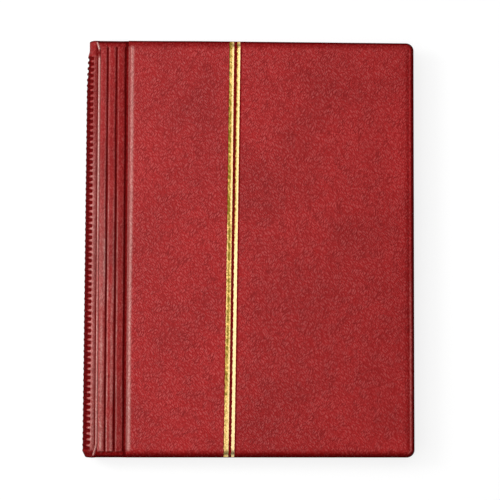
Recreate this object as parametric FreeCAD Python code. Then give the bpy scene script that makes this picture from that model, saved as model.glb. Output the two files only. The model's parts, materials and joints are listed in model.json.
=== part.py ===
"""Padded stamp album, closed, lying on its back cover.

Millimetres. +Z is up, the spine is at -X, the fore-edge at +X and the head of the pages at +Y.
The origin is under the middle of the closed album, on the surface that it lies on.
"""
import FreeCAD
import Part
import math
import os

# Overall size, spine crest to fore-edge and head to tail
album_width = 210.0
album_height = 265.0

# Cover build, from the outside in
skin_thickness = 0.5
foam_thickness = 1.8
board_thickness = 2.0
lining_thickness = 0.4
cover_corner_radius = 5.0
pad_edge_radius = 2.5

# Hinge strips: padded ridges between the spine and the padded panel
ridge_count = 3
ridge_pitch = 5.8
ridge_height = 1.0
groove_floor = 0.6
ridge_end_margin = 3.0
deep_groove_width = 1.8
weld_depth = 1.75
web_thickness = 0.5
weld_bead_radius = 0.45
weld_clearance = 0.15
hinge_lining_margin = 0.75

# Spine
rib_pitch = 3.69
rib_width = 1.8
rib_height = 0.8
rib_margin_head = 9.6
rib_margin_tail = 4.0
rib_start_angle = 117.0
stiffener_thickness = 0.8
spine_end_weld = 2.0
weld_setback = 0.5
backing_thickness = 0.8
backing_setback = 0.4

# Leaves and interleaves
leaf_count = 8
page_overhang = 4.0
card_underlap = 1.4
card_thickness = 0.6
film_thickness = 0.1
pocket_gap = 0.05
interleaf_thickness = 0.08
interleaf_inset = 1.2
leaf_gap = 0.1
block_gap = 0.2
tape_thickness = 0.15
tape_lap = 6.0
tape_bead_radius = 0.2
tape_bead_clearance = 0.1
tape_end_margin = 3.0

# Film pocket strips on each page
strip_rows = 7
strip_height = 28.0
strip_seal = 2.0
strip_side_margin = 3.0
page_tail_margin = 8.0
page_head_margin = 8.0

# Gold foil bands on the front cover
foil_thickness = 0.1
wide_band_width = 3.0
narrow_band_width = 2.0
wide_band_x = -13.1
band_gap = 1.6
band_tilt = 0.64

# Derived sizes
cover_thickness = skin_thickness + foam_thickness + board_thickness + lining_thickness
leaf_thickness = card_thickness + 2 * (pocket_gap + film_thickness)
leaf_pitch = leaf_thickness + 2 * leaf_gap + interleaf_thickness
block_thickness = leaf_thickness + (leaf_count - 1) * leaf_pitch
album_thickness = 2 * cover_thickness + 2 * block_gap + block_thickness
middle_z = album_thickness / 2
fore_edge = album_width / 2
half_height = album_height / 2

# The spine is a half tube whose top meets the weld line between spine and ridges
spine_radius = middle_z - weld_depth
spine_axis_x = -album_width / 2 + rib_height + spine_radius
spine_weld_x = spine_axis_x - weld_setback
spine_edge_x = spine_weld_x - weld_bead_radius - weld_clearance
stiffener_radius = spine_radius - skin_thickness
spine_lining_radius = stiffener_radius - stiffener_thickness
spine_hollow_radius = spine_lining_radius - lining_thickness
spine_end_angle = math.degrees(math.acos((spine_edge_x - spine_axis_x) / spine_radius))

# The deep groove is the weld line between the ridges and the padded panel
cover_weld_x = spine_weld_x + ridge_count * ridge_pitch
pad_left = cover_weld_x + deep_groove_width
weld_z = album_thickness - weld_depth

page_left = cover_weld_x - card_underlap
page_right = fore_edge - page_overhang
page_width = page_right - page_left
page_height = album_height - 2 * page_overhang
backing_right = spine_weld_x - backing_setback
leaf_pivot_x = backing_right + tape_bead_clearance + tape_bead_radius
top_leaf_z = middle_z + block_thickness / 2 - leaf_thickness / 2


def save(name, shape):
    shape.exportStep("parts/" + name + ".step")


def slab(x_range, y_range, z_range):
    size = [high - low for low, high in (x_range, y_range, z_range)]
    corner = FreeCAD.Vector(x_range[0], y_range[0], z_range[0])
    return Part.makeBox(size[0], size[1], size[2], corner)


def rod(x, z, radius, length):
    start = FreeCAD.Vector(x, -length / 2, z)
    return Part.makeCylinder(radius, length, start, FreeCAD.Vector(0, 1, 0))


def one_solid(shape):
    return shape.removeSplitter().Solids[0]


def mirrored(shape):
    """The same piece on the back of the album."""
    return shape.mirror(FreeCAD.Vector(0, 0, middle_z), FreeCAD.Vector(0, 0, 1))


def panel_form(inset):
    """Padded panel with rounded fore-edge corners and a rounded top edge, drawn in by inset."""
    top = album_thickness - inset
    bottom = album_thickness - cover_thickness
    form = slab(
        (pad_left + inset, fore_edge - inset),
        (-half_height + inset, half_height - inset),
        (bottom, top),
    )
    corners = [
        edge
        for edge in form.Edges
        if edge.BoundBox.ZLength > cover_thickness / 2 and edge.BoundBox.XMin > 0
    ]
    form = form.makeFillet(cover_corner_radius - inset, corners)
    rim = [edge for edge in form.Edges if edge.BoundBox.ZMin > top - inset - skin_thickness / 2]
    return form.makeFillet(pad_edge_radius - inset, rim)


def between(shape, low, high):
    """The part of a shape between two heights."""
    reach = album_width + album_height
    return one_solid(shape.common(slab((-reach, reach), (-reach, reach), (low, high))))


def foil_band(centre_x, width):
    """A foil strip that follows the panel's surface and its rounded ends, slightly tilted."""
    band = slab(
        (centre_x - width / 2, centre_x + width / 2),
        (-album_height, album_height),
        (album_thickness - pad_edge_radius, album_thickness),
    )
    band.rotate(FreeCAD.Vector(centre_x, 0, 0), FreeCAD.Vector(0, 0, 1), -band_tilt)
    return one_solid(panel_form(0).cut(panel_form(foil_thickness)).common(band))


def cover_pieces():
    """Skin, foam, board and lining of the front cover."""
    bottom = album_thickness - cover_thickness
    lining_top = bottom + lining_thickness
    board_top = lining_top + board_thickness
    foam_top = board_top + foam_thickness
    hollow = panel_form(skin_thickness)
    flange = slab(
        (cover_weld_x, pad_left + skin_thickness / 2),
        (-half_height, half_height),
        (weld_z - web_thickness / 2, weld_z + web_thickness / 2),
    )
    flange = flange.cut(rod(cover_weld_x, weld_z, weld_bead_radius + weld_clearance, 2 * album_height))
    flange = one_solid(flange)
    skin = one_solid(panel_form(0).fuse(flange).cut(hollow))
    return {
        "cover_skin": skin,
        "foam_pad": between(hollow, board_top, foam_top),
        "board": between(hollow, lining_top, board_top),
        "lining": between(hollow, bottom, lining_top),
    }


def ridge_form(middle_x, inset):
    """One ridge: the cap of a long cylinder, standing on the web's underside, drawn in by inset."""
    half_width = (ridge_pitch - groove_floor) / 2
    radius = (half_width ** 2 + ridge_height ** 2) / (2 * ridge_height)
    crest = weld_z + web_thickness / 2 + ridge_height
    length = album_height - 2 * (ridge_end_margin + inset)
    cylinder = rod(middle_x, crest - radius, radius - inset, length)
    base = weld_z - web_thickness / 2
    return between(cylinder, base, crest)


def hinge_pieces():
    """Ridged skin, ridge filling and lining of the front hinge strip."""
    web_bottom = weld_z - web_thickness / 2
    skin = slab(
        (spine_weld_x, cover_weld_x),
        (-half_height, half_height),
        (web_bottom, weld_z + web_thickness / 2),
    )
    for weld_x in (spine_weld_x, cover_weld_x):
        skin = skin.fuse(rod(weld_x, weld_z, weld_bead_radius, album_height))
    fillings = []
    for ridge in range(ridge_count):
        middle_x = spine_weld_x + (ridge + 0.5) * ridge_pitch
        skin = skin.fuse(ridge_form(middle_x, 0))
        fillings.append(ridge_form(middle_x, skin_thickness))
    for filling in fillings:
        skin = skin.cut(filling)
    lining = slab(
        (spine_weld_x + hinge_lining_margin, cover_weld_x - hinge_lining_margin),
        (-half_height, half_height),
        (web_bottom - lining_thickness, web_bottom),
    )
    return {
        "hinge_skin": one_solid(skin),
        "hinge_padding": Part.makeCompound(fillings),
        "hinge_lining": lining,
    }


def spine_sector(profile, start_angle, end_angle):
    """Turn a profile, drawn at the side of the spine, around the spine's axis."""
    centre = FreeCAD.Vector(spine_axis_x, 0, middle_z)
    backwards = FreeCAD.Vector(0, -1, 0)
    face = Part.Face(profile)
    face.rotate(centre, backwards, start_angle - 180)
    return face.revolve(centre, backwards, end_angle - start_angle)


def spine_point(radius, y):
    return FreeCAD.Vector(spine_axis_x - radius, y, middle_z)


def ring_profile(inner, outer, length):
    corners = [
        spine_point(inner, -length / 2),
        spine_point(outer, -length / 2),
        spine_point(outer, length / 2),
        spine_point(inner, length / 2),
    ]
    return Part.makePolygon(corners + corners[:1])


def spine_skin_profile(rib_places):
    """Outer skin seen along the spine: ribs outside, thick welded ends that close in the stiffener."""
    end_y = half_height
    weld_y = half_height - spine_end_weld
    edges = []
    last = spine_point(spine_radius, -end_y)
    for y in rib_places:
        foot = spine_point(spine_radius, y - rib_width / 2)
        crest = spine_point(spine_radius + rib_height, y)
        top = spine_point(spine_radius, y + rib_width / 2)
        edges.append(Part.LineSegment(last, foot).toShape())
        edges.append(Part.Arc(foot, crest, top).toShape())
        last = top
    rest = [
        last,
        spine_point(spine_radius, end_y),
        spine_point(spine_hollow_radius, end_y),
        spine_point(spine_hollow_radius, weld_y),
        spine_point(stiffener_radius, weld_y),
        spine_point(stiffener_radius, -weld_y),
        spine_point(spine_hollow_radius, -weld_y),
        spine_point(spine_hollow_radius, -end_y),
        spine_point(spine_radius, -end_y),
    ]
    for start, end in zip(rest, rest[1:]):
        edges.append(Part.LineSegment(start, end).toShape())
    return Part.Wire(edges)


def spine_pieces():
    """Ribbed skin, stiffener, lining and the flat backing that the leaves are taped to."""
    first_rib = half_height - rib_margin_head
    rib_room = album_height - rib_margin_head - rib_margin_tail
    rib_count = int(rib_room / rib_pitch) + 1
    rib_places = [first_rib - rib * rib_pitch for rib in reversed(range(rib_count))]
    rib_end_angle = 360 - rib_start_angle
    far_end_angle = 360 - spine_end_angle
    ribbed = spine_sector(spine_skin_profile(rib_places), rib_start_angle, rib_end_angle)
    upper = spine_sector(spine_skin_profile([]), spine_end_angle, rib_start_angle)
    lower = spine_sector(spine_skin_profile([]), rib_end_angle, far_end_angle)
    inner_length = album_height - 2 * spine_end_weld
    stiffener = ring_profile(spine_lining_radius, stiffener_radius, inner_length)
    lining = ring_profile(spine_hollow_radius, spine_lining_radius, inner_length)
    backing = slab(
        (backing_right - backing_thickness, backing_right),
        (-page_height / 2, page_height / 2),
        (middle_z - spine_hollow_radius, middle_z + spine_hollow_radius),
    )
    hollow = rod(spine_axis_x, middle_z, spine_hollow_radius, 2 * album_height)
    return {
        "spine_skin": one_solid(ribbed.fuse([upper, lower])),
        "spine_stiffener": spine_sector(stiffener, spine_end_angle, far_end_angle),
        "spine_lining": spine_sector(lining, spine_end_angle, far_end_angle),
        "spine_backing": one_solid(backing.common(hollow)),
    }


def pocket_strip(tail_y, page_z, side):
    """Clear film sealed to the page along its tail edge, open along its head edge."""
    reach = (page_left + strip_side_margin, page_right - strip_side_margin)
    heights = sorted((page_z, page_z + side * (pocket_gap + film_thickness)))
    strip = slab(reach, (tail_y, tail_y + strip_height), heights)
    gap_heights = sorted((page_z, page_z + side * pocket_gap))
    gap = slab(reach, (tail_y + strip_seal, tail_y + strip_height), gap_heights)
    return strip.cut(gap)


def leaf_pieces(leaf_z):
    """Card, linen hinge tape let into the card's edge, and the film strips of both pages."""
    tape = slab(
        (leaf_pivot_x, page_left + tape_lap),
        (-page_height / 2 + tape_end_margin, page_height / 2 - tape_end_margin),
        (leaf_z - tape_thickness / 2, leaf_z + tape_thickness / 2),
    )
    card = slab(
        (page_left, page_right),
        (-page_height / 2, page_height / 2),
        (leaf_z - card_thickness / 2, leaf_z + card_thickness / 2),
    )
    bead = rod(leaf_pivot_x, leaf_z, tape_bead_radius, page_height - 2 * tape_end_margin)
    row_pitch = (page_height - page_tail_margin - page_head_margin) / strip_rows
    strips = []
    for row in range(strip_rows):
        tail_y = -page_height / 2 + page_tail_margin + row * row_pitch
        for side in (1, -1):
            strips.append(pocket_strip(tail_y, leaf_z + side * card_thickness / 2, side))
    return {
        "card": card.cut(tape),
        "tape": one_solid(tape.fuse(bead)),
        "strips": Part.makeCompound(strips),
    }


def interleaf(sheet_z):
    return slab(
        (leaf_pivot_x + interleaf_inset, page_right),
        (-page_height / 2, page_height / 2),
        (sheet_z - interleaf_thickness / 2, sheet_z + interleaf_thickness / 2),
    )


def main():
    os.makedirs("parts", exist_ok=True)
    narrow_band_x = wide_band_x + wide_band_width / 2 + band_gap + narrow_band_width / 2
    bands = {
        "gold_band_wide": foil_band(wide_band_x, wide_band_width),
        "gold_band_narrow": foil_band(narrow_band_x, narrow_band_width),
    }
    for name, shape in {**cover_pieces(), **hinge_pieces()}.items():
        save("back_" + name, mirrored(shape))
        if name == "cover_skin":
            shape = one_solid(shape.cut(list(bands.values())))
        save("front_" + name, shape)
    for name, shape in {**bands, **spine_pieces()}.items():
        save(name, shape)
    for leaf in range(leaf_count):
        leaf_z = top_leaf_z - leaf * leaf_pitch
        for name, shape in leaf_pieces(leaf_z).items():
            save("leaf_%d_%s" % (leaf + 1, name), shape)
        if leaf + 1 < leaf_count:
            save("interleaf_%d_sheet" % (leaf + 1), interleaf(leaf_z - leaf_pitch / 2))


main()
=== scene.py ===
import json
import math

import bpy
import numpy as np
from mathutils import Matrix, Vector


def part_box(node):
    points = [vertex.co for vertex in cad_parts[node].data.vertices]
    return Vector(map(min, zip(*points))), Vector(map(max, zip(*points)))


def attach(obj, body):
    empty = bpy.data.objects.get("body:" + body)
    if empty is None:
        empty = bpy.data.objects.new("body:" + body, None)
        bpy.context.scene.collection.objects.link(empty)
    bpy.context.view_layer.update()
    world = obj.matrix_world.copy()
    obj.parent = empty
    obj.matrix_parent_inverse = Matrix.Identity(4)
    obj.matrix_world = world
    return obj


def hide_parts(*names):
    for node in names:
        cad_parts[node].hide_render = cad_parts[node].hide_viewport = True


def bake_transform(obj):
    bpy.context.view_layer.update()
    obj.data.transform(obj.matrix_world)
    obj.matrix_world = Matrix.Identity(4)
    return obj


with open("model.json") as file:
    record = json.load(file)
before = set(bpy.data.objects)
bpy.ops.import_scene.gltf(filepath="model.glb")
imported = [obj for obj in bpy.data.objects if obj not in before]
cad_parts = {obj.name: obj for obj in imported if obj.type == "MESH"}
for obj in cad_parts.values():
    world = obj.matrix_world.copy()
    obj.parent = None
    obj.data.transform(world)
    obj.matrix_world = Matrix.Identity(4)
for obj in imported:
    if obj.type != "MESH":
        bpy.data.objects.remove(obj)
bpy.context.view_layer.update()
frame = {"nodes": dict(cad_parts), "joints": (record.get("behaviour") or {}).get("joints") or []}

mm = 0.001  # sizes below are in millimetres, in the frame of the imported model


def nodeBox(node):
    low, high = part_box(node)
    return [c / mm for c in low], [c / mm for c in high]


def hexColor(code):  # an sRGB code as linear light
    parts = [int(code[i:i + 2], 16) / 255 for i in (1, 3, 5)]
    return tuple(c / 12.92 if c <= 0.04045 else ((c + 0.055) / 1.055) ** 2.4 for c in parts) + (1.0,)


def perMetre(size):
    return 1.0 / (size * mm)  # pattern scale for a feature of this many millimetres


def addNode(tree, kind, settings=None, links=None):
    node = tree.nodes.new(kind)
    for key, value in (settings or {}).items():
        if isinstance(key, str) and hasattr(node, key):
            setattr(node, key, value)
        else:
            node.inputs[key].default_value = value
    linkInputs(tree, node, links or {})
    return node


def linkInputs(tree, node, links):
    for key, source in links.items():
        if isinstance(source, bpy.types.Node):  # a node stands for its first output in use
            source = next(socket for socket in source.outputs if socket.enabled)
        tree.links.new(source, node.inputs[key])


def startMaterial(name, settings):
    material = bpy.data.materials.new(name)
    material.use_nodes = True
    tree = material.node_tree
    shader = tree.nodes["Principled BSDF"]
    for key, value in settings.items():
        shader.inputs[key].default_value = value
    place = addNode(tree, "ShaderNodeTexCoord").outputs["Object"]
    return material, tree, shader, place


# Embossed PVC leatherette, calendered over cotton: satin, with short pressed creases that catch
# the light one by one. Its colour holds painted shade in the grain's creases and a painted highlight on
# its crests, is darkened by soil and painted shade in welds, grooves and at edges, and paler under painted highlights.
leatherLook = dict(
    # the third and fourth colours are painted shade in the grain's creases and a painted highlight on its crests; on
    # the next line come the dark tone of soil and painted shade, then the pale tone of painted highlights
    base="#b31819", cloud="#9d0d0e", creaseShade="#860a0c", crest="#cb6a67",
    soilShadeTone="#4c0203", highlight="#dba89f", ior=1.52,
    creaseSize=1.18, creaseStretch=3.0, creaseTurns=(38.0, -30.0), patchSize=6.0,
    poreSize=0.8, poreHeight=0.9, bendSize=6.0, bend=1.4, cloudSize=34.0,
    depth=0.32, bump=0.5, soilShadeDulls=0.3,
    # how each pattern is spread before it is used
    creaseSpread={"interpolation_type": "SMOOTHSTEP", "From Max": 0.22},
    patchSpread={"From Min": 0.44, "From Max": 0.56},
    cloudSpread={"From Min": 0.35, "From Max": 0.7},
    biteSpread={"From Min": 0.36, "From Max": 0.62, "To Min": 0.36, "To Max": 0.84},
    pitSpread={"From Min": 1.2, "From Max": 0.45},
    grainHighlightSpread={"From Min": 1.2, "From Max": 1.66, "To Max": 0.3},
    highlightSpread={"From Min": 0.6, "From Max": 1.5, "To Min": 0.65, "To Max": 1.2},
    roughSpread={"From Min": 0.2, "From Max": 1.6, "To Min": 0.56, "To Max": 0.42},
    polishSpread={"From Min": 0.55, "From Max": 1.55, "To Min": 0.22, "To Max": 0.34},
    lessSoilShadeSpread={"From Max": 0.6, "To Min": 1.0, "To Max": 0.1})


def leatherMaterial(look):
    material, tree, shader, place = startMaterial("embossed_pvc_leatherette", {"IOR": look["ior"]})
    bend = addNode(tree, "ShaderNodeTexNoise", {"Scale": perMetre(look["bendSize"]), "Detail": 1.0}, {"Vector": place})
    bent = addNode(tree, "ShaderNodeVectorMath", {"operation": "MULTIPLY_ADD", 1: (look["bend"] * mm,) * 3},
                   {0: bend.outputs["Color"], 2: place})
    # creases are about 0.7 mm wide on the real skin and are drawn some 1.7 times as wide, to show
    # in the picture; they lie in patches of two slanting directions
    ridges = []
    for turn in look["creaseTurns"]:
        slanted = addNode(tree, "ShaderNodeMapping",
                          {"vector_type": "TEXTURE", "Rotation": (0, 0, math.radians(turn)),
                           "Scale": (1.0, look["creaseStretch"], 1.0)}, {"Vector": bent})
        cell = addNode(tree, "ShaderNodeTexVoronoi",
                       {"feature": "DISTANCE_TO_EDGE", "Scale": perMetre(look["creaseSize"])}, {"Vector": slanted})
        ridges.append(addNode(tree, "ShaderNodeMapRange", look["creaseSpread"], {"Value": cell}))
    patch = addNode(tree, "ShaderNodeTexNoise", {"Scale": perMetre(look["patchSize"])}, {"Vector": place})
    pick = addNode(tree, "ShaderNodeMapRange", look["patchSpread"], {"Value": patch})
    ridge = addNode(tree, "ShaderNodeMix", {"data_type": "FLOAT"}, {"Factor": pick, "A": ridges[0], "B": ridges[1]})
    pore = addNode(tree, "ShaderNodeTexNoise", {"Scale": perMetre(look["poreSize"])}, {"Vector": bent})
    height = addNode(tree, "ShaderNodeMath", {"operation": "MULTIPLY_ADD", 1: look["poreHeight"]}, {0: pore, 2: ridge})
    bump = addNode(tree, "ShaderNodeBump", {"Strength": look["bump"], "Distance": look["depth"] * mm},
                   {"Height": height})
    cloud = addNode(tree, "ShaderNodeTexNoise", {"Scale": perMetre(look["cloudSize"]), "Detail": 3.0},
                    {"Vector": place})
    cloudy = addNode(tree, "ShaderNodeMapRange", look["cloudSpread"], {"Value": cloud})
    # the press has bitten unevenly, so some patches are almost smooth
    bite = addNode(tree, "ShaderNodeMapRange", look["biteSpread"], {"Value": bend})
    # painted shade in the grain's creases, less where the press bit lightly
    pit = addNode(tree, "ShaderNodeMapRange", look["pitSpread"], {"Value": height})
    bitten = addNode(tree, "ShaderNodeMath", {"operation": "MULTIPLY"}, {0: pit, 1: bite})
    # a painted highlight on the grain's crests
    grainHighlight = addNode(tree, "ShaderNodeMapRange", look["grainHighlightSpread"], {"Value": height})
    # painted highlights reach the grain's crests first
    highlight = addNode(tree, "ShaderNodeAttribute", {"attribute_name": "highlight"})
    high = addNode(tree, "ShaderNodeMapRange", look["highlightSpread"], {"Value": height})
    highlightShare = addNode(tree, "ShaderNodeMath", {"operation": "MULTIPLY", "use_clamp": True},
                     {0: highlight.outputs["Fac"], 1: high})
    # soil and painted shade: pulls the colour toward the dark tone, roughens it and lowers its gloss
    soilAndShade = addNode(tree, "ShaderNodeAttribute", {"attribute_name": "soilAndShade"})
    # each colour lies over the one before it
    color = addNode(tree, "ShaderNodeMix", {"data_type": "RGBA", "A": hexColor(look["base"]),
                                            "B": hexColor(look["cloud"])}, {"Factor": cloudy})
    for layer, share in (("creaseShade", bitten), ("crest", grainHighlight), ("highlight", highlightShare), ("soilShadeTone", soilAndShade.outputs["Fac"])):
        color = addNode(tree, "ShaderNodeMix", {"data_type": "RGBA", "B": hexColor(look[layer])},
                        {"Factor": share, "A": color})
    rough = addNode(tree, "ShaderNodeMapRange", look["roughSpread"], {"Value": height})
    dulled = addNode(tree, "ShaderNodeMath", {"operation": "MULTIPLY_ADD", 1: look["soilShadeDulls"]},
                     {0: soilAndShade.outputs["Fac"], 2: rough})
    polish = addNode(tree, "ShaderNodeMapRange", look["polishSpread"], {"Value": height})
    lessSoilAndShade = addNode(tree, "ShaderNodeMapRange", look["lessSoilShadeSpread"], {"Value": soilAndShade.outputs["Fac"]})
    shine = addNode(tree, "ShaderNodeMath", {"operation": "MULTIPLY"}, {0: polish, 1: lessSoilAndShade})
    linkInputs(tree, shader, {"Base Color": color, "Specular IOR Level": shine, "Roughness": dulled, "Normal": bump})
    return material


# Hot-stamped metallised foil: mirror-like pale gold that has cracked over the grain, olive where
# the colour has rubbed thin.
foilLook = dict(
    bright="#edd39c", warm="#d9ae5c", crack="#857022", crackSize=1.5, patchSize=1.9,
    slant=42.0, stretch=1.9, grainSize=0.8, depth=0.07, bump=0.4,
    crackSpread={"From Min": 0.12, "From Max": 0.02}, thinSpread={"From Min": 0.36, "From Max": 0.52},
    roughSpread={"To Min": 0.22, "To Max": 0.5})


def foilMaterial(look):
    material, tree, shader, place = startMaterial("hot_stamped_gold_foil", {"Metallic": 1.0})
    worn = addNode(tree, "ShaderNodeAttribute", {"attribute_name": "worn"}).outputs["Fac"]
    cell = addNode(tree, "ShaderNodeTexVoronoi",
                   {"feature": "DISTANCE_TO_EDGE", "Scale": perMetre(look["crackSize"])}, {"Vector": place})
    crack = addNode(tree, "ShaderNodeMapRange", look["crackSpread"], {"Value": cell})
    slanted = addNode(tree, "ShaderNodeMapping",
                      {"vector_type": "TEXTURE", "Rotation": (0, 0, math.radians(look["slant"])),
                       "Scale": (1.0, look["stretch"], 1.0)}, {"Vector": place})
    patch = addNode(tree, "ShaderNodeTexNoise", {"Scale": perMetre(look["patchSize"]), "Detail": 3.0,
                                                 "Roughness": 0.6}, {"Vector": slanted})
    patchy = addNode(tree, "ShaderNodeMath", {"operation": "MULTIPLY"}, {0: patch, 1: worn})
    thin = addNode(tree, "ShaderNodeMapRange", look["thinSpread"], {"Value": patchy})
    broken = addNode(tree, "ShaderNodeMath", {"operation": "MULTIPLY"}, {0: crack, 1: worn})
    marked = addNode(tree, "ShaderNodeMath", {"operation": "MAXIMUM"}, {0: thin, 1: broken})
    tone = addNode(tree, "ShaderNodeMix", {"data_type": "RGBA", "A": hexColor(look["bright"]),
                                           "B": hexColor(look["warm"])}, {"Factor": worn})
    color = addNode(tree, "ShaderNodeMix", {"data_type": "RGBA", "B": hexColor(look["crack"])},
                    {"Factor": marked, "A": tone})
    grain = addNode(tree, "ShaderNodeTexNoise", {"Scale": perMetre(look["grainSize"])}, {"Vector": place})
    bump = addNode(tree, "ShaderNodeBump", {"Strength": look["bump"], "Distance": look["depth"] * mm},
                   {"Height": grain})
    rough = addNode(tree, "ShaderNodeMapRange", look["roughSpread"], {"Value": marked})
    linkInputs(tree, shader, {"Base Color": color, "Roughness": rough, "Normal": bump})
    return material


# Plain materials that share one recipe: two tones mixed by a stretched noise, with the same noise
# as a shallow bump. Sizes are the fibre, cell or thread of each.
plainLooks = {
    # calendered vinyl lining: even dull red with a fine cloth print from its backing
    "calendered_vinyl_lining": dict(
        tones=("#5c1518", "#6d1d20"), size=1.1, stretch=1.0, depth=0.05, roughness=(0.5, 0.62), ior=1.52),
    # open-cell polyether foam: cream, crumbly, no shine
    "open_cell_polyether_foam": dict(
        tones=("#d9cfae", "#efe6c8"), size=0.8, stretch=1.0, depth=0.3, roughness=(0.9, 1.0), ior=1.45),
    # pressed greyboard: flecked grey-brown pulp
    "pressed_greyboard": dict(
        tones=("#8d887c", "#a7a194"), size=1.6, stretch=0.35, depth=0.06, roughness=(0.82, 0.95), ior=1.47),
    # black stock card: dyed through, faint long fibres
    "black_stock_card": dict(
        tones=("#141415", "#222224"), size=1.0, stretch=0.3, depth=0.04, roughness=(0.72, 0.88), ior=1.47),
    # black linen tape: matt plain weave, thread about 0.5 mm
    "woven_linen_tape": dict(
        tones=("#17171a", "#34343a"), size=0.5, stretch=0.45, depth=0.12, roughness=(0.85, 0.95), ior=1.47),
    # calendered glassine: milky, half clear, a little shiny
    "calendered_glassine": dict(
        tones=("#e3e2d8", "#f2f1ea"), size=6.0, stretch=0.6, depth=0.03, roughness=(0.35, 0.5), ior=1.47, alpha=0.62),
    # cast polyester film: clear and glossy, seen by its reflections
    "clear_polyester_film": dict(
        tones=("#e4ecf0", "#f4f8fa"), size=14.0, stretch=0.3, depth=0.02, roughness=(0.06, 0.12), ior=1.58, alpha=0.2),
}


def plainMaterial(name, look):
    material, tree, shader, place = startMaterial(name, {"IOR": look["ior"], "Alpha": look.get("alpha", 1.0)})
    stretched = addNode(tree, "ShaderNodeMapping", {"Scale": (1.0, look["stretch"], 1.0)}, {"Vector": place})
    fleck = addNode(tree, "ShaderNodeTexNoise", {"Scale": perMetre(look["size"]), "Detail": 4.0, "Roughness": 0.6},
                    {"Vector": stretched})
    spread = addNode(tree, "ShaderNodeMapRange", {"From Min": 0.3, "From Max": 0.7}, {"Value": fleck})
    first, second = [hexColor(tone) for tone in look["tones"]]
    color = addNode(tree, "ShaderNodeMix", {"data_type": "RGBA", "A": first, "B": second}, {"Factor": spread})
    bump = addNode(tree, "ShaderNodeBump", {"Strength": 0.5, "Distance": look["depth"] * mm}, {"Height": fleck})
    smoothest, roughest = look["roughness"]
    rough = addNode(tree, "ShaderNodeMapRange", {"To Min": smoothest, "To Max": roughest}, {"Value": spread})
    linkInputs(tree, shader, {"Base Color": color, "Roughness": rough, "Normal": bump})
    return material


leather = leatherMaterial(leatherLook)
foil = foilMaterial(foilLook)
plain = {name: plainMaterial(name, look) for name, look in plainLooks.items()}
print("materials made:", 2 + len(plain))


# Shape helpers. Wear and painted light in the dictionaries below are given as a fade (strength, where it starts, where
# it is full) or as a stripe (strength, middle, width).
def smoothStep(low, high, value):
    t = np.clip((value - low) / (high - low), 0.0, 1.0)
    return t * t * (3.0 - 2.0 * t)


def fade(mark, value):
    strength, start, full = mark
    return strength * smoothStep(start, full, value)


def stripe(mark, value):
    strength, middle, width = mark
    return strength * np.exp(-((value - middle) / width) ** 2)


def between(first, last, share):
    return [a + (b - a) * share for a, b in zip(first, last)]


def roundOver(distance, radius):
    t = np.clip(1.0 - distance / radius, 0.0, 1.0)  # 1 at the edge, 0 past the radius
    return 1.0 - np.sqrt(np.maximum(1.0 - t * t, 0.0))


def sway(along, lengths, phase):  # the phase only moves where each wave starts
    waves = [np.sin(2 * np.pi * along / length + phase * (k + 1.7)) for k, length in enumerate(lengths)]
    return sum(waves) / len(waves)


sharpFrom = 48.0  # degrees: a fold in a mesh that is sharper than this keeps a hard edge


# Mesh helpers: a sheet is a grid of points, rows along the album's height and columns across it
def gridQuads(rows, columns, first=0, flip=False):
    index = first + np.arange(rows * columns).reshape(rows, columns)
    quads = np.stack([index[:-1, :-1], index[:-1, 1:], index[1:, 1:], index[1:, :-1]], axis=-1).reshape(-1, 4)
    return quads[:, ::-1] if flip else quads


def gridRim(rows, columns, first=0):
    index = first + np.arange(rows * columns).reshape(rows, columns)
    return np.concatenate([index[0, :-1], index[:-1, -1], index[-1, :0:-1], index[:0:-1, 0]])


def rimQuads(upper, lower):
    return np.stack([upper, lower, np.roll(lower, -1), np.roll(upper, -1)], axis=1)


def sheetAt(x, y, z):
    return np.stack([x, y, np.broadcast_to(z, x.shape)], axis=-1)


def closedShell(top, under, loops=()):
    rows, columns = top.shape[:2]
    points, quads = [top.reshape(-1, 3)], [gridQuads(rows, columns)]
    last, count = gridRim(rows, columns), rows * columns
    for loop in loops:
        here = count + np.arange(len(loop))
        points.append(loop)
        quads.append(rimQuads(last, here))
        last, count = here, count + len(loop)
    points.append(under.reshape(-1, 3))
    quads.append(gridQuads(rows, columns, count, True))
    quads.append(rimQuads(last, gridRim(rows, columns, count)))
    return np.concatenate(points), np.concatenate(quads)


def addPiece(name, shells, material, marks=None, back=False):
    points = np.concatenate([shell[0] for shell in shells])
    starts = np.cumsum([0] + [len(shell[0]) for shell in shells])
    quads = np.concatenate([shell[1] + start for shell, start in zip(shells, starts)])
    if back:  # the back of the album mirrors the front
        points[:, 2] = albumTop - points[:, 2]
        quads = quads[:, ::-1]
    mesh = bpy.data.meshes.new(name)
    mesh.from_pydata((points * mm).tolist(), [], quads.tolist())
    for mark, values in (marks or {}).items():
        full = np.zeros(len(points), np.float32)
        full[:values.size] = np.clip(values, 0, 1).ravel()
        mesh.attributes.new(mark, "FLOAT", "POINT").data.foreach_set("value", full)
    mesh.materials.append(material)
    mesh.shade_smooth()
    mesh.set_sharp_from_angle(angle=math.radians(sharpFrom))
    piece = bpy.data.objects.new(name, mesh)
    bpy.context.scene.collection.objects.link(piece)
    return piece


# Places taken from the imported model
jointAt = {joint["name"]: [c / mm for c in joint["pos_m"]] for joint in frame["joints"]}
coverLow, coverHigh = nodeBox("front_cover_skin")
boardLow, boardHigh = nodeBox("front_board")
spineLeft = nodeBox("spine_skin")[0][0]
albumTop, foreEdge, halfHeight, coverUnder = coverHigh[2], coverHigh[0], coverHigh[1], coverLow[2]
spineWeld, weldLevel = jointAt["front_cover_opening"][0], jointAt["front_cover_opening"][2]
coverWeld = jointAt["front_strip_settle"][0]

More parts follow.
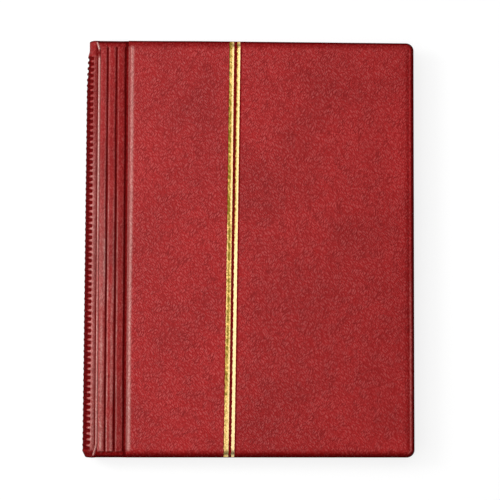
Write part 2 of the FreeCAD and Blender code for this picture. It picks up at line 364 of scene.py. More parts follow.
# Front and back covers: a padded panel inside a sunk weld line, with a narrow rounded rim outside it
coverForm = dict(
    skin=0.5, cornerRadius=5.0, rimDrop=0.4, rimRound=2.4, rimFall=2.5, rimLines=8,
    weldAt=3.6, weldDepth=0.05, weldWidth=0.9, pillowRound=3.4,
    rollRound=5.6, rollFall=3.0, rollWeld=0.4, endBlend=4.0,
    foldRound=2.8, foldFall=1.9, foldBlend=4, crown=0.3, crownReach=11.0,
    sway=0.07, swayLengths=(29.0, 47.0, 83.0), phases={"front": 0.4, "back": 2.9}, alongPhase=2.0,
    step=2.6, fineStep=0.25, fineReach=6.9, fineGap=0.6, padGap=0.02, padLeast=0.1,
    # cut a little short at the head, toward the spine
    headTrim=(0.45, -15.0, -75.0), trimFrom=30.0,
    # the skin turns in under its edge: how far in, how high above the inner side
    turnIn=((0.0, 1.3), (0.0, 0.5), (0.06, 0.2), (0.2, 0.05), (0.36, 0.0), (0.5, 0.0)),
    # painted light: shade at the outer edge, beside the fold and toward the fore-edge, highlights on the fold and rim,
    # shade in lines beside the bands
    tailward=(1.0, 60.0, -60.0), headShade=(0.9, 2.8, 0.8), headHaze=(0.42, 6.8, 1.6),
    tailShade=(1.0, 5.6, -0.1), foreShadeHead=(0.8, 2.8, 1.8), foreShadeTail=(0.93, 2.2, 1.5),
    foreHaze=(0.17, 8.6, 5.2), foreLine=(0.12, 4.3, 0.8), foreLightFalloff=(0.05, -30.0, foreEdge),
    rimHighlight=(0.22, 2.75, 0.45), rimHighlightAlong=(1.0, 10.0, -50.0), foldShade=(0.5, 0.6, 0.65),
    foldHighlight=(0.4, 0.35, 0.6), rollHighlightHead=(0.5, 2.45, 1.0), rollHighlightTail=(0.59, 1.85, 1.0),
    highlightWithin=(1.0, 3.0, 6.0), leftLine=(0.35, -0.2, 0.3), rightLine=(0.7, 0.6, 0.5),
    gapShade=0.66, gapEdge=0.3)
padLeft = boardLow[0] - coverForm["skin"]

# Gold bands: pressed into the panel, running over its rim at both ends, leaning a little
bandForm = dict(
    tilt=0.64, sink=0.16, shoulder=0.45, proud=0.05, thickness=0.12, rows=531, columns=9,
    endGap=0.02, trim=0.12, headBend=(0.22, 30.0, 110.0),
    jagLeft=0.26, jagRight=0.1, jagLengths=(2.3, 3.7, 6.1),
    fineLeft=1.0, fineRight=1.75, leanFrom=9.0, leanOver=30.0,
    # wear: across a band from 0 to 1, and along it
    headward=(1.0, -10.0, 25.0), leftHalf=(0.7, 0.85, 0.5), leftLeast=0.3, leftAtTail=0.88,
    midLine=(0.4, 0.5, 0.28), midLeast=0.6, midFrom=(1.0, -75.0, -45.0), midTo=(1.0, 26.0, 8.0),
    headSpared=(0.16, 70.0, 115.0), tailSpared=(0.42, -80.0, -112.0),
    narrowLine=(0.8, 0.0, 0.5), narrowLeast=0.12)
bandLean = math.tan(math.radians(bandForm["tilt"]))
bandSpans = {}
for band in ("gold_band_wide", "gold_band_narrow"):
    low, high = nodeBox(band)
    lean = bandLean * (high[1] - low[1])
    middle, half = (low[0] + high[0]) / 2, (high[0] - low[0] - lean) / 2
    bandSpans[band] = (middle - half, middle + half)
bandLeft, bandRight = bandSpans["gold_band_wide"][0], bandSpans["gold_band_narrow"][1]
gapLeft, gapRight = bandSpans["gold_band_wide"][1], bandSpans["gold_band_narrow"][0]
print("bands", {name: [round(v, 2) for v in span] for name, span in bandSpans.items()}, "pad", round(padLeft, 2))


def edgeDistance(x, y, form):
    radius = form["cornerRadius"]
    cornerX, cornerY = x - (foreEdge - radius), np.abs(y) - (halfHeight - radius)
    straight = np.minimum(foreEdge - x, halfHeight - np.abs(y))
    return np.where((cornerX > 0) & (cornerY > 0), radius - np.hypot(cornerX, cornerY), straight)


def roundCorners(x, y, form):
    radius = form["cornerRadius"]
    a, b = (x - (foreEdge - radius)) / radius, (np.abs(y) - (halfHeight - radius)) / radius
    inside = (a > 0) & (b > 0)
    reach, least = np.maximum(a, b), np.minimum(a, b)
    turn = np.where(inside, least / np.where(inside, reach, 1.0), 0.0) * math.pi / 4
    angle = np.where(a >= b, turn, math.pi / 2 - turn)
    newX = foreEdge - radius + radius * reach * np.cos(angle)
    newY = np.sign(y) * (halfHeight - radius + radius * reach * np.sin(angle))
    return np.where(inside, newX, x), np.where(inside, newY, y)


def coverSurface(x, y, form, banded, phase):
    distance = edgeDistance(x, y, form)
    fromWeld, fromFold = distance - form["weldAt"], x - padLeft
    rim = form["rimDrop"] + form["rimFall"] * roundOver(distance, form["rimRound"])
    panel = form["rimDrop"] * roundOver(fromWeld, form["pillowRound"])
    weldLine = stripe((form["weldDepth"], 0.0, form["weldWidth"]), fromWeld)
    outer = np.where(fromWeld < 0, rim, panel) + weldLine
    # the fore-edge keeps a raised rim, head and tail roll over more
    atEnds = smoothStep(-form["endBlend"], form["endBlend"], (foreEdge - x) - (halfHeight - np.abs(y)))
    roll = form["rollFall"] * roundOver(distance, form["rollRound"]) + form["rollWeld"] * weldLine
    outer = outer + (roll - outer) * atEnds
    fold = form["foldFall"] * roundOver(fromFold, form["foldRound"])
    drop = (outer ** form["foldBlend"] + fold ** form["foldBlend"]) ** (1 / form["foldBlend"])
    inward = np.minimum(np.maximum(fromWeld, 0), np.maximum(fromFold, 0))
    drop = drop + form["crown"] * np.exp(-inward / form["crownReach"])
    along = form["alongPhase"]
    drop = drop + form["sway"] * (sway(x, form["swayLengths"], phase) + sway(y, form["swayLengths"], phase + along))
    # painted shade where the edges roll away from the light, most at the tail
    head = np.maximum(fade(form["headShade"], distance), fade(form["headHaze"], distance))
    tail = fade(form["tailShade"], distance)
    toTail = fade(form["tailward"], y)
    fore = np.maximum(fade(between(form["foreShadeHead"], form["foreShadeTail"], toTail), distance),
                      fade(form["foreHaze"], distance) + stripe(form["foreLine"], distance))
    soilAndShade = np.where(y > 0, head, tail) * atEnds + fore * (1 - atEnds)
    # painted shade in the groove at the foot of the fold
    soilAndShade = np.maximum(soilAndShade, stripe(form["foldShade"], fromFold))
    # painted shade: darker toward the fore-edge, as the light falls off
    soilAndShade = np.maximum(soilAndShade, fade(form["foreLightFalloff"], x))
    # painted highlights on the fold and, toward the tail, on the rim
    rollHighlight = stripe(between(form["rollHighlightHead"], form["rollHighlightTail"], toTail), fromFold)
    highlight = (rollHighlight + stripe(form["foldHighlight"], fromFold)) * fade(form["highlightWithin"], distance)
    highlight = highlight + stripe(form["rimHighlight"], distance) * (1 - atEnds) * fade(form["rimHighlightAlong"], y)
    if banded:
        across = x - bandLean * y
        shoulder, gapEdge = bandForm["shoulder"], form["gapEdge"]
        drop = drop + bandForm["sink"] * (smoothStep(bandLeft - shoulder, bandLeft, across)
                                          - smoothStep(bandRight, bandRight + shoulder, across))
        # painted shade: dark lines beside the bands and in the gap between them
        outline = stripe(form["leftLine"], across - bandLeft) + stripe(form["rightLine"], across - bandRight)
        gap = smoothStep(gapLeft - gapEdge, gapLeft, across) - smoothStep(gapRight, gapRight + gapEdge, across)
        soilAndShade = np.maximum(soilAndShade, np.maximum(outline, form["gapShade"] * gap))
    return albumTop - drop, soilAndShade, highlight


def coverLines(form, low, high, extra=()):
    arc = form["rimRound"] * (1 - np.cos(np.linspace(0, math.pi / 2, form["rimLines"])))
    fine = form["fineStep"]
    edge = np.concatenate([arc, np.arange(form["rimRound"] + fine, form["fineReach"], fine)])
    inner = np.linspace(low + edge[-1], high - edge[-1], int((high - low) / form["step"]))[1:-1]
    for start, stop in extra:
        inner = inner[(inner < start - form["fineGap"]) | (inner > stop + form["fineGap"])]
        inner = np.sort(np.concatenate([inner, np.linspace(start, stop, int((stop - start) / fine) + 1)]))
    return np.concatenate([low + edge, inner, (high - edge)[::-1]])


def coverGrid(form, banded):
    extra = [(bandLeft - bandForm["fineLeft"], bandRight + bandForm["fineRight"])] if banded else []
    x, y = np.meshgrid(coverLines(form, padLeft, foreEdge, extra), coverLines(form, -halfHeight, halfHeight))
    if banded:  # columns near the bands lean with them
        inside = np.minimum(x - padLeft, foreEdge - x) - bandForm["leanFrom"]
        x = x + np.clip(inside / bandForm["leanOver"], 0, 1) * bandLean * y
    return x, y


def shrink(x, y, inset):
    middle, width = (padLeft + foreEdge) / 2, foreEdge - padLeft
    return middle + (x - middle) * (1 - 2 * inset / width), y * (1 - inset / halfHeight)


def coverShell(form, banded, phase):
    x, y = coverGrid(form, banded)
    outX, outY = roundCorners(x, y, form)
    outY = outY - fade(form["headTrim"], outX) * smoothStep(halfHeight - form["trimFrom"], halfHeight, outY)
    z, soilAndShade, highlight = coverSurface(outX, outY, form, banded, phase)
    top = sheetAt(outX, outY, z)
    inX, inY = shrink(outX, outY, form["skin"])
    under = sheetAt(inX, inY, np.minimum(coverSurface(inX, inY, form, banded, phase)[0], z) - form["skin"])
    wall = top.reshape(-1, 3)[gridRim(*z.shape)]
    loops = [sheetAt(*shrink(wall[:, 0], wall[:, 1], inset), coverUnder + level) for inset, level in form["turnIn"]]
    return closedShell(top, under, loops), under, {"soilAndShade": soilAndShade, "highlight": highlight}


for side, phase in coverForm["phases"].items():
    back = side == "back"
    shell, lower, marks = coverShell(coverForm, not back, phase)
    skin = addPiece(side + "_cover_leatherette", [shell], leather, marks, back)
    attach(skin, side + "_cover")
    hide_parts(side + "_cover_skin")
    # the foam fills what is left between the skin and the board
    padTop = lower - np.array([0.0, 0.0, coverForm["padGap"]])
    padFoot = np.array(padTop)
    padFoot[..., 2] = np.minimum(boardHigh[2], padTop[..., 2] - coverForm["padLeast"])
    pad = addPiece(side + "_cover_foam", [closedShell(padTop, padFoot)], plain["open_cell_polyether_foam"],
                   None, back)
    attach(pad, side + "_cover")
    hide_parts(side + "_foam_pad")
print("covers made")

for band, (left, right) in bandSpans.items():
    form, wide = bandForm, band == "gold_band_wide"
    left, right = left + form["trim"] * (not wide), right - form["trim"] * wide
    reach = halfHeight - form["endGap"]
    share, y = np.meshgrid(np.linspace(0, 1, form["columns"]), np.linspace(-reach, reach, form["rows"]))
    jagLeft = form["jagLeft"] * sway(y, form["jagLengths"], left)
    jagRight = form["jagRight"] * sway(y, form["jagLengths"], right)
    x = left + (right - left) * share + jagLeft * (1 - share) + jagRight * share + bandLean * y
    x = x - fade(form["headBend"], y) * wide
    top = sheetAt(x, y, coverSurface(x, y, coverForm, True, coverForm["phases"]["front"])[0] + form["proud"])
    toHead = fade(form["headward"], y)
    if wide:  # worn over its left half, and most down its middle halfway along, less at both ends
        spared = fade(form["headSpared"], y) + fade(form["tailSpared"], y)
        along = form["leftAtTail"] + (1 - form["leftAtTail"]) * toHead
        worn = form["leftLeast"] + fade(form["leftHalf"], share) * along * (1 - spared)
        midWorn = form["midLeast"] + stripe(form["midLine"], share)
        worn = worn + (midWorn - worn) * fade(form["midFrom"], y) * fade(form["midTo"], y)
    else:
        worn = form["narrowLeast"] + stripe(form["narrowLine"], share) * toHead
    strip = addPiece(band + "_foil", [closedShell(top, top - np.array([0.0, 0.0, form["thickness"]]))], foil,
                     {"worn": worn})
    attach(strip, "front_cover")
    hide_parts(band)
print("gold bands made")

# Hinge strips: three flat-topped padded ridges with narrow pressed grooves between them, and a
# round weld bead where each strip meets the spine
hingeForm = dict(
    ridges=3, crest=0.45, floor=1.65, ridgeHalf=2.4, roundness=2.7, firstShift=0.25, shift=0.35,
    unevenness=0.05, wander=0.16, wanderLengths=(61.0, 97.0, 150.0), phases={"front": 0.9, "back": 3.7},
    wanderPhase=1.3, blotchPhase=2.0, patchPhase=2.1,
    endMargin=3.0, endTaper=1.6, edgeRound=2.2, edgeFall=1.3, tailRound=3.2, tailFall=2.6,
    bead=0.6, beadShift=0.72, beadLines=11, beadFoot=0.7, headBend=(1.7, 7.0, 0.0),
    tailBend=(2.0, 9.0, 0.0), bendOver=3.0, skin=0.5, leastSkin=0.12, webUnder=2.0, overlap=0.2,
    headTrim=0.6, trimFrom=30.0, step=0.2, rowStep=2.0, endReach=6.0, endStep=0.2,
    # foam rods inside the ridges, and the lining sheet
    rodHalf=2.0, rodColumns=13, rodEnd=4.2, rodStep=2.0, rodGap=0.02, rodLeast=0.06, rodLift=0.01,
    liningColumns=9, liningRows=60, liningTail=1.6, liningHead=0.6,
    # painted highlights along the strip, on the tops and lips, one value per ridge
    tailward=(1.0, 75.0, -25.0), footward=(1.0, -12.0, -50.0), onTop=(1.0, 0.6, 0.9),
    blotchLengths=(3.1, 5.3, 8.9), blotchSlants=(1.1, -0.7), patchLengths=(17.0, 29.0, 53.0), patchy=0.55,
    topHighlight=(0.23, 0.06, 0.04), topHighlightAtHead=0.1, topHighlightBlotch=1.8, speck=0.16, speckOver=0.12,
    leftLip=(0.14, 0.42, 0.38), leftLipAt=-0.8, rightLip=(0.34, 0.25, 0.1), rightLipAt=0.64,
    lipWidth=0.4, lipAtHead=0.45, lipTailward=0.7,
    # near the tail the padding has sunk: a painted highlight streak and painted shade on one side of each ridge
    streak=(0.4, 0.26, 0.0), streakAt=(-0.05, 0.3, 0.0), streakWidth=0.8, streakBlotch=0.8,
    shade=(0.26, 0.3, 0.0), shadeAt=(0.62, -0.34, 0.0), shadeWidth=0.5, shadeBlotch=0.6,
    sunkTop=0.6, sunkLip=0.7,
    # painted shade at the ends, in the grooves and beside the bead; a darker tone on the ridges toward the cover
    headShade=(0.95, 2.8, 1.2), headHaze=(0.42, 6.0, 2.4), tailShade=(1.0, 2.4, 1.2),
    tailHaze=(0.62, 5.0, 3.4), grooveHead=(0.64, 0.75, 0.25), grooveTail=(0.78, 0.75, 0.25),
    tone=0.08, headTone=0.06, secondTone=(0.08, 5.0, 7.0), thirdTone=(0.1, 11.0, 13.0),
    beadShadeHead=(0.45, 0.25, 0.4), beadShadeFoot=(0.6, 0.25, 0.4),
    # painted highlight and darkening of the bead
    cutFrom=(1.0, 5.4, 6.2), cutTo=(1.0, 10.4, 9.6), cutDarker=0.45, beadHighlight=0.95, beadTailward=0.3,
    beadSpared=(0.22, -15.0, 22.0), beadEndHighlight=(1.0, 0.4, 2.0), beadEndShade=(1.0, 1.6, 0.4))


def ridgeMiddle(k, form):
    pitch = (coverWeld - spineWeld) / form["ridges"]
    return spineWeld + form["shift"] + pitch * (k + 0.5)


def beadBend(y, form):
    return fade(form["headBend"], halfHeight - y) + fade(form["tailBend"], halfHeight + y)


def endRoll(fromEnd, y, form):
    head = form["edgeFall"] * roundOver(fromEnd, form["edgeRound"])
    return np.where(y > 0, head, form["tailFall"] * roundOver(fromEnd, form["tailRound"]))


def hingeSurface(x, y, form, phase):
    fromEnd = halfHeight - np.abs(y) - np.where(y > 0, form["headTrim"], 0.0)
    taper = smoothStep(0.0, form["endTaper"], fromEnd - form["endMargin"])
    toTail, toFoot = fade(form["tailward"], y), fade(form["footward"], y)
    swell, highlight, shade = np.zeros_like(x), np.zeros_like(x), np.zeros_like(x)
    for k in range(form["ridges"]):
        first = form["firstShift"] if k == 0 else 0.0
        wander = form["wander"] * sway(y, form["wanderLengths"], phase + form["wanderPhase"] * k)
        middle = ridgeMiddle(k, form) + first + wander
        half, offset = form["ridgeHalf"] - first / 2, x - middle
        t = np.clip(np.abs(offset) / half, 0, 1)
        rise = (1 - t ** form["roundness"]) ** (1 / form["roundness"])
        swell = np.maximum(swell, rise * (1 + form["unevenness"] * sway(y, form["wanderLengths"], phase + k)))
        # painted highlights on the ridge tops and along both lips, unevenly, most toward the tail
        blotch = 1.0
        for slant, start in zip(form["blotchSlants"], (phase, form["blotchPhase"])):
            blotch = blotch * sway(y + slant * x, form["blotchLengths"], start + k)
        uneven = 1 + form["patchy"] * sway(y, form["patchLengths"], phase + form["patchPhase"] * k)
        sunk = toFoot * (form["streak"][k] > 0)
        onTop = fade(form["onTop"], rise)
        topHighlight = form["topHighlight"][k] * (form["topHighlightAtHead"] + (1 - form["topHighlightAtHead"]) * toTail)
        topHighlight = topHighlight * (1 - form["sunkTop"] * sunk) * (1 + form["topHighlightBlotch"] * blotch)
        highlight = highlight + (topHighlight + form["speck"] * np.maximum(blotch - form["speckOver"], 0)) * onTop
        leftLip = stripe((form["leftLip"][k], form["leftLipAt"] * half, form["lipWidth"]), offset)
        rightLip = stripe((form["rightLip"][k], form["rightLipAt"] * half, form["lipWidth"]), offset)
        lips = leftLip + rightLip * (1 - form["sunkLip"] * sunk)
        highlight = highlight + lips * (form["lipAtHead"] + form["lipTailward"] * toTail) * uneven
        # where the padding has sunk, a painted highlight runs along a ridge, with painted shade on one side
        streak = stripe((form["streak"][k], form["streakAt"][k] * half, form["streakWidth"]), offset)
        highlight = highlight + streak * toFoot * (1 + form["streakBlotch"] * blotch) * uneven
        dark = stripe((form["shade"][k], form["shadeAt"][k] * half, form["shadeWidth"]), offset)
        shade = shade + dark * toFoot * (1 - form["shadeBlotch"] * blotch)
    ends = endRoll(fromEnd, y, form)
    z = albumTop - form["floor"] + (form["floor"] - form["crest"]) * swell * taper - ends
    fromBead = x - (spineWeld + form["beadShift"] - beadBend(y, form))
    isBead = fromBead < form["bead"]
    roundness = np.sqrt(1 - np.clip(np.abs(fromBead) / form["bead"], 0, 1) ** 2)
    z = np.where(isBead, weldLevel + form["bead"] * roundness - ends, z)
    head = np.maximum(fade(form["headShade"], fromEnd), fade(form["headHaze"], fromEnd))
    tail = np.maximum(fade(form["tailShade"], fromEnd), fade(form["tailHaze"], fromEnd))
    # painted shade in the grooves between the ridges
    groove = fade(between(form["grooveHead"], form["grooveTail"], toTail), swell) * taper
    tone = form["tone"] + form["headTone"] * (1 - toTail) + fade(form["secondTone"], x - spineWeld)
    tone = tone + fade(form["thirdTone"], x - spineWeld) * (1 + toTail)
    beadShade = stripe(between(form["beadShadeHead"], form["beadShadeFoot"], toFoot), fromBead - form["bead"])
    soilAndShade = np.maximum.reduce([groove, np.where(y > 0, head, tail), tone, beadShade, shade])
    # the bead carries a painted highlight, less toward the tail, broken once near the head
    cut = fade(form["cutFrom"], fromEnd) * fade(form["cutTo"], fromEnd) * (y > 0)
    beadHighlight = form["beadHighlight"] - form["beadTailward"] * toTail - stripe(form["beadSpared"], y)
    beadHighlight = beadHighlight * (1 - cut) * fade(form["beadEndHighlight"], fromEnd)
    beadDirt = np.maximum(form["cutDarker"] * cut, fade(form["beadEndShade"], fromEnd))
    return z, np.where(isBead, beadDirt, soilAndShade), np.where(isBead, beadHighlight, highlight * taper)


def heightLines(step, edge, fine):
    ends = np.arange(0.0, edge, fine)
    middle = np.linspace(-halfHeight + edge, halfHeight - edge, int((2 * halfHeight - 2 * edge) / step) + 1)
    return np.concatenate([-halfHeight + ends, middle, (halfHeight - ends)[::-1]])


def hingeSkin(form, phase):
    beadAt, bead = spineWeld + form["beadShift"], form["bead"]
    across = np.concatenate([beadAt + bead * np.linspace(-1, 1, form["beadLines"])[:-1],
                             np.arange(beadAt + bead, coverWeld + form["overlap"], form["step"])])
    x, y = np.meshgrid(across, heightLines(form["rowStep"], form["endReach"], form["endStep"]))
    y = y - form["headTrim"] * smoothStep(halfHeight - form["trimFrom"], halfHeight, y)
    x = x - smoothStep(beadAt + form["bendOver"], beadAt + bead, x) * beadBend(y, form)
    z, soilAndShade, highlight = hingeSurface(x, y, form, phase)
    isBead = x < beadAt - beadBend(y, form) + bead
    foot = np.where(isBead, weldLevel - bead * form["beadFoot"], albumTop - form["webUnder"])
    foot = foot - endRoll(halfHeight - np.abs(y), y, form)
    under = np.minimum(np.maximum(foot, z - form["skin"]), z - form["leastSkin"])
    shell = closedShell(sheetAt(x, y, z), sheetAt(x, y, under))
    return shell, {"soilAndShade": np.stack([soilAndShade, soilAndShade]), "highlight": np.stack([highlight, highlight])}  # upper and lower side alike


def hingeRods(form, phase):
    foot, rods = albumTop - form["webUnder"], []
    rows = np.arange(-halfHeight + form["rodEnd"], halfHeight - form["rodEnd"], form["rodStep"])
    for k in range(form["ridges"]):
        middle = ridgeMiddle(k, form)
        columns = np.linspace(middle - form["rodHalf"], middle + form["rodHalf"], form["rodColumns"])
        x, y = np.meshgrid(columns, rows)
        z = hingeSurface(x, y, form, phase)[0] - form["skin"] - form["rodGap"]
        rods.append(closedShell(sheetAt(x, y, np.maximum(z, foot + form["rodLeast"])),
                                sheetAt(x, y, foot + form["rodLift"])))
    return rods


for side, phase in hingeForm["phases"].items():
    back, form = side == "back", hingeForm
    shell, marks = hingeSkin(form, phase)
    strip = addPiece(side + "_hinge_leatherette", [shell], leather, marks, back)
    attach(strip, side + "_hinge")
    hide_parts(side + "_hinge_skin")
    filler = addPiece(side + "_hinge_foam", hingeRods(form, phase), plain["open_cell_polyether_foam"],
                      None, back)
    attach(filler, side + "_hinge")
    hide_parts(side + "_hinge_padding")
    # the lining stops short with the skin at the head
    low, high = nodeBox(side + "_hinge_lining")
    tailEnd, headEnd = low[1] + form["liningTail"], high[1] - form["headTrim"] - form["liningHead"]
    x, y = np.meshgrid(np.linspace(low[0], high[0], form["liningColumns"]),
                       np.linspace(tailEnd, headEnd, form["liningRows"]))
    sheet = closedShell(sheetAt(x, y, high[2]), sheetAt(x, y, low[2]))
    lining = addPiece(side + "_hinge_lining_sheet", [sheet], plain["calendered_vinyl_lining"])
    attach(lining, side + "_hinge")
    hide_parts(side + "_hinge_lining")
print("hinge strips made")

# Spine: half-round skin over a stiffener, with thin raised ribs between sunk cells and a smooth
# pinched end at head and tail. Angles are in degrees from the crest.
spineForm = dict(
    core=7.73, rib=0.8, pitch=3.69, ribHalf=0.62, headMargin=9.6, tailMargin=4.0, ribBlend=1.5,
    cellEnd=65.0, cellDepth=0.85, cellCorner=0.7, cellEdge=(1.0, 0.25, -0.4), cellLeast=0.3,
    cellOpens=(1.0, 10.0, 45.0), headOpens=(1.0, 34.0, 16.0), ribsFall=(1.0, 81.0, 66.0),
    halfAngle=82.0, columns=77, linesPerRib=11, linesFrom=2.5, headTrim=(0.75, 12.0, 0.0),
    endLines=(0.0, 0.12, 0.35, 0.7, 1.2, 1.9, 2.1), endFall=0.7, endRound=0.8, skin=0.5,
    endWeld=2.0, endThickness=1.7, bulgeHead=0.95, bulgeTail=1.06, pinch=0.79,
    pinchSlow=(0.35, 28.0, 9.6), pinchQuick=(0.65, 11.1, 6.0), tailPinch=(0.2, 4.5, 0.0),
    # layers under the skin
    layerAngle=70.0, layerColumns=41, layerRows=90, layerEnd=2.2,
    layers={"spine_stiffener": dict(finish="pressed_greyboard", slot="greyboard", outer=7.21, inner=6.45),
            "spine_lining": dict(finish="calendered_vinyl_lining", slot="lining_vinyl", outer=6.43, inner=6.05)},
    # painted light: shade in the cells, on the crest, at the foot and the ends, highlights on the rib ends and the
    # side; the plain ends are darker
    tailward=(1.0, 95.0, 25.0), cellShade=0.78, footShade=(0.55, 72.0, 79.0), crestShade=(1.0, 55.0, 41.0),
    crestPlain=0.3, crestRibbed=0.55, plainDarker=0.28, endShade=(0.9, 2.2, 0.8),
    tailShade=(0.75, 6.5, 3.0), headShade=(0.3, 52.0, 64.0), dash=(0.5, 60.0, 8.0), dashOnRib=(1.0, 0.5, 1.2),
    dashAtHead=0.4, side=(1.0, 60.0, 70.0), sideAtHead=0.12, sideTailward=0.2, plainHighlight=0.15)
spineAxisX = spineLeft + spineForm["core"] + spineForm["rib"]
spineAxisZ = albumTop / 2


def spineLines(form):
    ends = np.array(form["endLines"])
    inner = np.arange(-halfHeight + form["linesFrom"], halfHeight - form["linesFrom"],
                      form["pitch"] / form["linesPerRib"])
    lines = np.concatenate([-halfHeight + ends, inner, (halfHeight - ends)[::-1]])
    return lines - fade(form["headTrim"], halfHeight - lines)


def spinePoint(radius, angle, y, form):
    along, fromHead = (y + halfHeight) / (2 * halfHeight), halfHeight - y
    bulge = form["bulgeTail"] + (form["bulgeHead"] - form["bulgeTail"]) * along
    pinched = 1 - (1 - form["pinch"]) * (fade(form["pinchSlow"], fromHead) + fade(form["pinchQuick"], fromHead))
    pinched = pinched - fade(form["tailPinch"], halfHeight + y)
    x = spineAxisX + radius * np.cos(angle)
    x = spineWeld + (x - spineWeld) * np.where(x < spineWeld, bulge * pinched, 1.0)
    return np.stack([x, y, spineAxisZ + radius * np.sin(angle)], axis=-1)


def spineShell(form):
    degrees = np.linspace(180 + form["halfAngle"], 180 - form["halfAngle"], form["columns"])
    degree, y = np.meshgrid(degrees, spineLines(form))
    angle, fromCrest, fromEnd = np.radians(degree), np.abs(degree - 180), halfHeight - np.abs(y)
    firstRib, lastRib = -halfHeight + form["tailMargin"], halfHeight - form["headMargin"]
    # sunk cells with round corners between the ribs
    beat = (y - firstRib) / form["pitch"]
    fromCell = np.abs(beat - np.floor(beat) - 0.5) * form["pitch"]  # from the middle of the nearest cell
    corner, ribRadius = form["cellCorner"], form["core"] + form["rib"]
    beyondY = np.maximum(fromCell - (form["pitch"] / 2 - form["ribHalf"] - corner), 0)
    beyondArc = np.maximum(np.radians(fromCrest - form["cellEnd"]) * ribRadius + corner, 0)
    inCell = fade(form["cellEdge"], np.hypot(beyondY, beyondArc) - corner) * ((y > firstRib) & (y < lastRib))
    opened = np.maximum(fade(form["cellOpens"], fromCrest), fade(form["headOpens"], halfHeight - y))
    depth = form["cellDepth"] * (form["cellLeast"] + (1 - form["cellLeast"]) * opened)
    radius = form["core"] + form["rib"] * fade(form["ribsFall"], fromCrest) - depth * inCell
    radius = radius - form["endFall"] * roundOver(fromEnd, form["endRound"])
    inner = form["core"] - np.where(fromEnd < form["endWeld"], form["endThickness"], form["skin"])
    # painted shade in the cells, on the crest and at the ends, painted highlights on the rib ends and the side
    ribbed = smoothStep(0.0, form["ribBlend"], y - firstRib) * smoothStep(0.0, form["ribBlend"], lastRib - y)
    toTail = fade(form["tailward"], y)
    crest = (form["crestPlain"] + form["crestRibbed"] * ribbed) * fade(form["crestShade"], fromCrest)
    soilAndShade = np.maximum.reduce([
        form["cellShade"] * inCell, fade(form["footShade"], fromCrest), crest, form["plainDarker"] * (1 - ribbed),
        fade(form["endShade"], fromEnd), fade(form["tailShade"], fromEnd) * (y < 0),
        fade(form["headShade"], fromCrest) * (1 - toTail)])
    dash = stripe(form["dash"], fromCrest) * fade(form["dashOnRib"], fromCell)
    dash = dash * (form["dashAtHead"] + (1 - form["dashAtHead"]) * toTail)
    side = fade(form["side"], fromCrest) * (form["sideAtHead"] + form["sideTailward"] * toTail)
    highlight = (dash + side) * (1 - inCell) * (form["plainHighlight"] + (1 - form["plainHighlight"]) * ribbed)
    shell = closedShell(spinePoint(radius, angle, y, form), spinePoint(inner, angle, y, form))
    return shell, {"soilAndShade": soilAndShade, "highlight": highlight}


shell, marks = spineShell(spineForm)
spine = addPiece("spine_leatherette", [shell], leather, marks)
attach(spine, "spine")
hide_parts("spine_skin")
# stiffener and lining follow the skin inward at the pinched head
for node, layerForm in spineForm["layers"].items():
    form, reach = spineForm, halfHeight - spineForm["layerEnd"]
    degrees = np.linspace(180 + form["layerAngle"], 180 - form["layerAngle"], form["layerColumns"])
    degree, y = np.meshgrid(degrees, np.linspace(-reach, reach, form["layerRows"]))
    shell = closedShell(spinePoint(layerForm["outer"], np.radians(degree), y, form),
                        spinePoint(layerForm["inner"], np.radians(degree), y, form))
    layer = addPiece(node + "_layer", [shell], plain[layerForm["finish"]])
    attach(layer, "spine")
    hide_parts(node)
print("spine made")

# Welded webs: the thin skin along the four fold lines
webForm = dict(
    thickness=0.3, columns=9, rowStep=6.0, endReach=2.0, endStep=0.5, sag=0.12,
    inset=0.15, headTrim=(0.6, 20.0, 0.0), paler=0.6, endShade=(1.0, 5.0, 1.5),
    # each web: its two edges, how far they lie under the weld, and where it bends
    spine=dict(edges=(spineWeld - 1.6, spineWeld + 0.9), drops=(0.15, 0.1), fold=(spineWeld - 0.5, spineWeld + 0.4)),
    cover=dict(edges=(coverWeld - 0.5, padLeft + 0.3), drops=(0.05, 0.05), fold=(coverWeld - 0.3, coverWeld + 0.5)))


def addWeb(name, place, back):
    form, (start, stop), fold = webForm, place["edges"], place["fold"]
    startTop, stopTop = [weldLevel - drop for drop in place["drops"]]
    x, y = np.meshgrid(np.linspace(start, stop, form["columns"]),
                       heightLines(form["rowStep"], form["endReach"], form["endStep"]))
    share = (x - start) / (stop - start)
    z = startTop + (stopTop - startTop) * share - form["sag"] * np.sin(math.pi * share)
    top = sheetAt(x, y * (1 - form["inset"] / halfHeight) - fade(form["headTrim"], halfHeight - y), z)
    # painted shade: each web is darker toward its spine-side edge, down in the fold, and at its ends
    soilAndShade = np.maximum(1.0 - form["paler"] * share, fade(form["endShade"], halfHeight - np.abs(y)))
    web = addPiece(name, [closedShell(top, top - np.array([0.0, 0.0, form["thickness"]]))], leather,
                   {"soilAndShade": np.stack([soilAndShade, soilAndShade])}, back)
    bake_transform(web)


for side in ("front", "back"):
    addWeb(side + "_spine_web", webForm["spine"], side == "back")
    addWeb(side + "_cover_web", webForm["cover"], side == "back")
print("fold webs made")

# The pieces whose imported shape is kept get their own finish
keptFinish = {"_board": "pressed_greyboard", "_lining": "calendered_vinyl_lining", "_stiffener": "pressed_greyboard",
              "_backing": "woven_linen_tape", "_card": "black_stock_card", "_tape": "woven_linen_tape",
              "_strips": "clear_polyester_film", "_sheet": "calendered_glassine"}
finished = 0
for name, node in frame["nodes"].items():
    for ending, finish in keptFinish.items():
        if name.endswith(ending):
            node.data.materials.clear()
            node.data.materials.append(plain[finish])
            finished += 1
print("kept pieces finished:", finished)

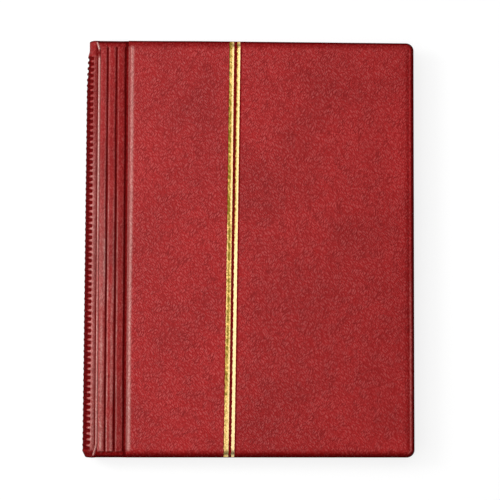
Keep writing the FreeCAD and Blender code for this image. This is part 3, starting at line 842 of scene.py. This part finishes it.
# Studio: white floor, one wide soft lamp overhead, a smaller one at the left, a low even sky.
# Places and sizes are in metres.
studio = dict(
    floorSize=24.0, floorAt=-0.0004, floorColor="#8c8c8c", floorOther="#6e6e6e", floorGlow=0.79,
    sky=0.14, backdrop=0.82, wall=1.0,
    wallSpread={"interpolation_type": "SMOOTHSTEP", "From Min": 0.8, "From Max": 0.35},
    lamps={"overhead_lamp": dict(at=(-0.68, 0.22, 1.35), size=2.2, power=27.0),
           "left_lamp": dict(at=(-1.0, 0.3, 0.9), size=0.36, power=5.5)})
bpy.ops.mesh.primitive_plane_add(size=studio["floorSize"], location=(0, 0, studio["floorAt"]))
floor = bpy.context.object
floor.name = "studio_floor"
# matt painted board: white to the camera, greyer as a bounce so the album keeps its dark edges
material = bpy.data.materials.new("matt_white_board")
material.use_nodes = True
tree = material.node_tree
tree.nodes.clear()
rays = addNode(tree, "ShaderNodeLightPath")
shown = addNode(tree, "ShaderNodeMath", {"operation": "MAXIMUM"},
                {0: rays.outputs["Is Camera Ray"], 1: rays.outputs["Is Glossy Ray"]})
shown = addNode(tree, "ShaderNodeMath", {"operation": "MAXIMUM"}, {0: shown, 1: rays.outputs["Is Transmission Ray"]})
bright = addNode(tree, "ShaderNodeBsdfDiffuse", {"Color": hexColor(studio["floorColor"])})
glow = addNode(tree, "ShaderNodeEmission", {"Strength": studio["floorGlow"]})
lit = addNode(tree, "ShaderNodeAddShader", None, {0: bright, 1: glow})
dull = addNode(tree, "ShaderNodeBsdfDiffuse", {"Color": hexColor(studio["floorOther"])})
mixed = addNode(tree, "ShaderNodeMixShader", None, {"Fac": shown, 1: dull, 2: lit})
addNode(tree, "ShaderNodeOutputMaterial", None, {"Surface": mixed})
floor.data.materials.append(material)

for name, lampForm in studio["lamps"].items():
    lampData = bpy.data.lights.new(name, "AREA")
    lampData.energy = lampForm["power"]
    lampData.size = lampForm["size"]
    lamp = bpy.data.objects.new(name, lampData)
    lamp.location = lampForm["at"]
    lamp.rotation_euler = (-Vector(lampForm["at"])).to_track_quat("-Z", "Y").to_euler()
    bpy.context.scene.collection.objects.link(lamp)

# the sky is dim, but gloss and clear film see a pale wall low down, and the camera a pale backdrop
world = bpy.data.worlds.new("studio_sky")
world.use_nodes = True
tree = world.node_tree
rays = addNode(tree, "ShaderNodeLightPath")
height = addNode(tree, "ShaderNodeSeparateXYZ", None, {0: addNode(tree, "ShaderNodeTexCoord").outputs["Generated"]})
low = addNode(tree, "ShaderNodeMapRange", studio["wallSpread"], {"Value": height.outputs["Z"]})
shiny = addNode(tree, "ShaderNodeMath", {"operation": "MAXIMUM"},
                {0: rays.outputs["Is Glossy Ray"], 1: rays.outputs["Is Transmission Ray"]})
wall = addNode(tree, "ShaderNodeMath", {"operation": "MULTIPLY"}, {0: shiny, 1: low})
mirrored = addNode(tree, "ShaderNodeMapRange", {"To Min": studio["sky"], "To Max": studio["wall"]}, {"Value": wall})
level = addNode(tree, "ShaderNodeMix", {"data_type": "FLOAT", "B": studio["backdrop"]},
                {"Factor": rays.outputs["Is Camera Ray"], "A": mirrored})
background = tree.nodes["Background"]
background.inputs["Color"].default_value = (1, 1, 1, 1)
linkInputs(tree, background, {"Strength": level})
bpy.context.scene.world = world

# Camera: almost straight above, a little toward the spine and the tail
view = dict(at=(-0.0385, -0.0566, 1.0), turn=(3.21, -2.26, 0.186), lens=111.67, sensor=36.0)
cameraData = bpy.data.cameras.new("camera")
cameraData.lens = view["lens"]
cameraData.sensor_width = view["sensor"]
camera = bpy.data.objects.new("camera", cameraData)
camera.location = view["at"]
camera.rotation_euler = [math.radians(angle) for angle in view["turn"]]
bpy.context.scene.collection.objects.link(camera)
bpy.context.scene.camera = camera
bpy.context.scene.view_settings.view_transform = "Standard"
print("studio and camera set")
